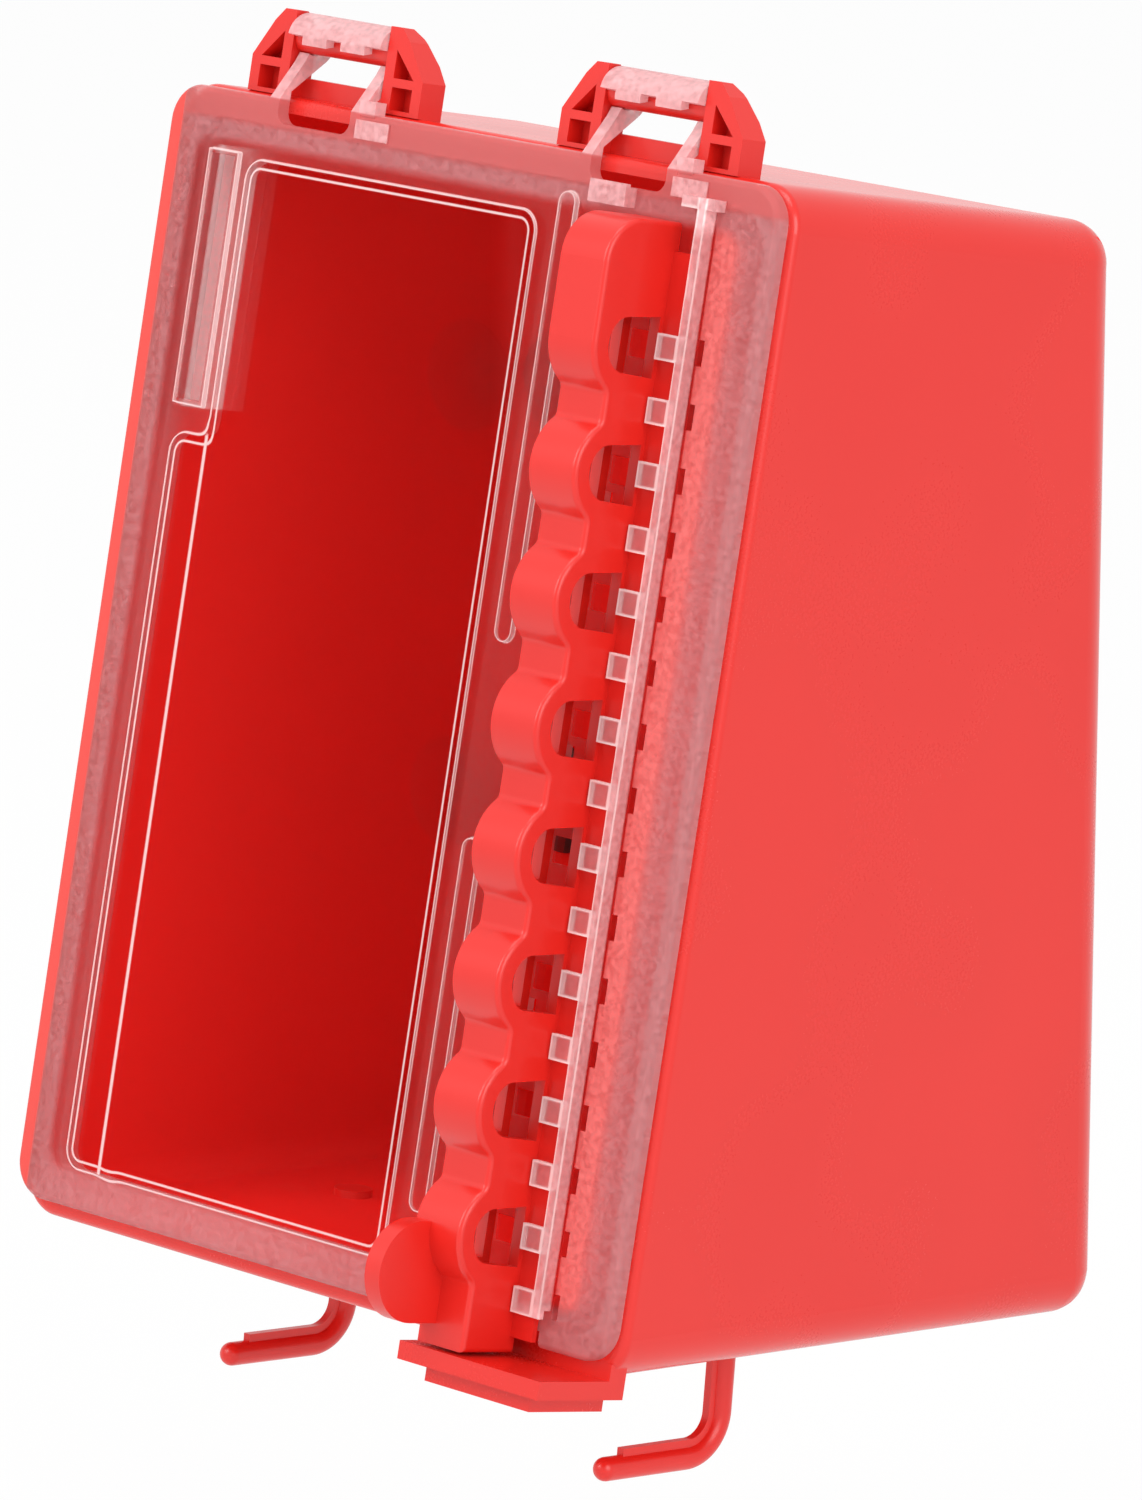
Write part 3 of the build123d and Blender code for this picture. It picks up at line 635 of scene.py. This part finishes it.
# %% Finishes for the solids
finishes = {
    "case": case_red,
    "cover": cover_clear,
    "key_slot_baffle": baffle_clear,
    "lock_bar": fittings_red,
    "hinge_yoke_left": fittings_red,
    "hinge_yoke_right": fittings_red,
    "hinge_pin_left": fittings_red,
    "hinge_pin_right": fittings_red,
    "storage_hook_left": fittings_red,
    "storage_hook_right": fittings_red,
    "wall_button_lower": button_black,
    "wall_button_upper": button_black,
}
for name, piece in nodes.items():
    piece.data.materials.clear()
    piece.data.materials.append(finishes[name])
print("dressed", len(nodes), "pieces")

# %% [markdown]
# ## Grip studs on the buttons
#
# A column of five tiny studs crosses each button, so that a finger does not slip. They are too
# fine for the CAD model, and a bump in the material would not show at their outline. Each stud is
# a small dome, turned like a pot: rings of points that shrink towards its top.

# %% One stud
import bmesh

STUD_RADIUS = 0.00055
STUD_RISE = 0.0004
STUD_SINK = 0.0003
STUD_SIDES = 12
STUD_RINGS = ((1.0, -STUD_SINK), (1.0, 0.3 * STUD_RISE), (0.75, 0.8 * STUD_RISE))


def add_stud(shape, x, skin, z):
    """Add a domed stud at a place on the skin of a button."""
    rings = []
    for reach, height in STUD_RINGS:
        ring = []
        for side in range(STUD_SIDES):
            angle = radians(360 * side / STUD_SIDES)
            spot_x = x + reach * STUD_RADIUS * cos(angle)
            spot_z = z + reach * STUD_RADIUS * sin(angle)
            ring.append(shape.verts.new((spot_x, skin - height, spot_z)))
        rings.append(ring)
    top = shape.verts.new((x, skin - STUD_RISE, z))
    for lower, upper in zip(rings, rings[1:]):
        for side in range(STUD_SIDES):
            after = (side + 1) % STUD_SIDES
            shape.faces.new((lower[side], lower[after], upper[after], upper[side]))
    for side in range(STUD_SIDES):
        shape.faces.new((rings[-1][side], rings[-1][(side + 1) % STUD_SIDES], top))
    shape.faces.new(list(reversed(rings[0])))


print("a stud is", 2 * STUD_RADIUS, "wide")

# %% [markdown]
# The studs stand on the curve of the button's dome, which is part of a sphere: its radius follows
# from the width and the rise of the dome. They ride with the button when it slides.

# %% Studs on both buttons
STUD_PITCH = 0.0024
STUD_COUNT = 5
DOME_RISE = 0.004


def grip_studs(name, button, body):
    """A column of domed studs on the front of one button."""
    low, high = (Vector(corner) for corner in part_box(button))
    middle = (low + high) / 2
    radius = (high.x - low.x) / 2
    dome = (radius**2 + DOME_RISE**2) / (2 * DOME_RISE)
    shape = bmesh.new()
    for index in range(STUD_COUNT):
        rise = (index - (STUD_COUNT - 1) / 2) * STUD_PITCH
        skin = low.y + dome - (dome**2 - rise**2) ** 0.5
        add_stud(shape, middle.x, skin, middle.z + rise)
    bmesh.ops.recalc_face_normals(shape, faces=shape.faces)
    mesh = bpy.data.meshes.new(name)
    shape.to_mesh(mesh)
    shape.free()
    for face in mesh.polygons:
        face.use_smooth = True
    mesh.materials.append(button_black)
    piece = bpy.data.objects.new(name, mesh)
    bpy.context.collection.objects.link(piece)
    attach(piece, body)
    print(name, "has", STUD_COUNT, "studs")


grip_studs("grip_studs_lower", "wall_button_lower", "button_lower")
grip_studs("grip_studs_upper", "wall_button_upper", "button_upper")

# %% [markdown]
# ## The camera
#
# The photograph was taken from far away with a long lens, from the front right and a little
# above. Three turns aim the camera: round the vertical, up or down, and a small roll. The lens is
# given for a picture whose long side is its height.

# %% Camera
AZIMUTH = radians(45.41)
ELEVATION = radians(13.20)
ROLL = radians(0.38)
CAMERA_PLACE = (1.25584, -1.29830, 0.40230)
LENS = 240.0
SENSOR_HEIGHT = 36.0
FAR_CLIP = 50.0

camera_data = bpy.data.cameras.new("photo_camera")
camera_data.sensor_fit = "VERTICAL"
camera_data.sensor_height = SENSOR_HEIGHT
camera_data.lens = LENS
camera_data.clip_end = FAR_CLIP
camera = bpy.data.objects.new("photo_camera", camera_data)
bpy.context.collection.objects.link(camera)
turn = Matrix.Rotation(AZIMUTH, 4, "Z") @ Matrix.Rotation(radians(90) - ELEVATION, 4, "X")
turn = turn @ Matrix.Rotation(ROLL, 4, "Z")
camera.matrix_world = Matrix.Translation(CAMERA_PLACE) @ turn
bpy.context.scene.camera = camera
print("camera at", tuple(round(v, 3) for v in camera.matrix_world.translation))

# %% [markdown]
# ## Floor, light and background
#
# The photograph has a plain white background. A bright white world would do that, but it would
# also wash out the red. So the world and the floor look white only to the camera, in reflections
# and through clear plastic, and light the object no more than a studio would.


# %% White to the eye
EYE_RAYS = ("Is Camera Ray", "Is Transmission Ray", "Is Glossy Ray")
WHITE = (1, 1, 1, 1)


def white_to_the_eye(owner, lit, glow, output, share):
    """Show white by a share to the camera, in gloss and through clear pieces."""
    path = owner.node_tree.nodes.new("ShaderNodeLightPath")
    camera_ray, clear_ray, gloss_ray = (Wire(owner, path.outputs[name]) for name in EYE_RAYS)
    seen = camera_ray.most(clear_ray).most(gloss_ray) * share
    white = seen.node(glow, {"Color": WHITE, "Strength": 1.0})
    mix_shaders(seen, lit, white, output)


print("white for", len(EYE_RAYS), "kinds of ray")

# %% World
SKY_LIGHT = 0.55

world = bpy.data.worlds.new("studio")
bpy.context.scene.world = world
world.use_nodes = True
sky = world.node_tree.nodes["Background"]
sky.inputs["Color"].default_value = WHITE
sky.inputs["Strength"].default_value = SKY_LIGHT
white_to_the_eye(world, sky, "ShaderNodeBackground", "World Output", 1.0)
print("sky gives", SKY_LIGHT)

# %% [markdown]
# The floor lies a little below the hooks. It only sends soft light up from below: the camera sees
# it almost as white as the world.

# %% Floor
FLOOR_DROP = 0.06
FLOOR_HALF = 4
FLOOR_WHITE = 0.94
FLOOR_PAINT = (0.9, 0.9, 0.9, 1)
FLOOR_ROUGHNESS = 0.8

level = cad_box[0][2] - FLOOR_DROP
signs = ((-1, -1), (1, -1), (1, 1), (-1, 1))
corners = [(FLOOR_HALF * x, FLOOR_HALF * y, level) for x, y in signs]
floor_mesh = bpy.data.meshes.new("floor")
floor_mesh.from_pydata(corners, [], [(0, 1, 2, 3)])
floor = bpy.data.objects.new("floor", floor_mesh)
bpy.context.collection.objects.link(floor)
pale = bpy.data.materials.new("pale_floor")
pale.use_nodes = True
painted = pale.node_tree.nodes["Principled BSDF"]
painted.inputs["Base Color"].default_value = FLOOR_PAINT
painted.inputs["Roughness"].default_value = FLOOR_ROUGHNESS
white_to_the_eye(pale, painted, "ShaderNodeEmission", "Material Output", FLOOR_WHITE)
floor_mesh.materials.append(pale)
print("floor at", round(level, 3))

# %% [markdown]
# Three large soft lamps give the case its broad highlights. Small lamps would put hard spots on
# the glossy plastic, which the photograph doesn't have.

# %% Lamps
MIDDLE = Vector((0, -0.06, 0))
LAMPS = (
    ("front_lamp", (-0.5, -1.8, 1.2), 1.2, 20),
    ("side_lamp", (2.0, -0.6, 0.9), 1.4, 23),
    ("top_lamp", (0.2, -0.3, 2.0), 1.2, 14),
)

for name, spot, size, power in LAMPS:
    data = bpy.data.lights.new(name, "AREA")
    data.shape = "SQUARE"
    data.size = size
    data.energy = power
    lamp = bpy.data.objects.new(name, data)
    lamp.location = spot
    lamp.rotation_euler = (MIDDLE - Vector(spot)).to_track_quat("-Z", "Y").to_euler()
    bpy.context.collection.objects.link(lamp)
bpy.context.scene.view_settings.view_transform = "Standard"
print("lamps placed:", len(LAMPS))
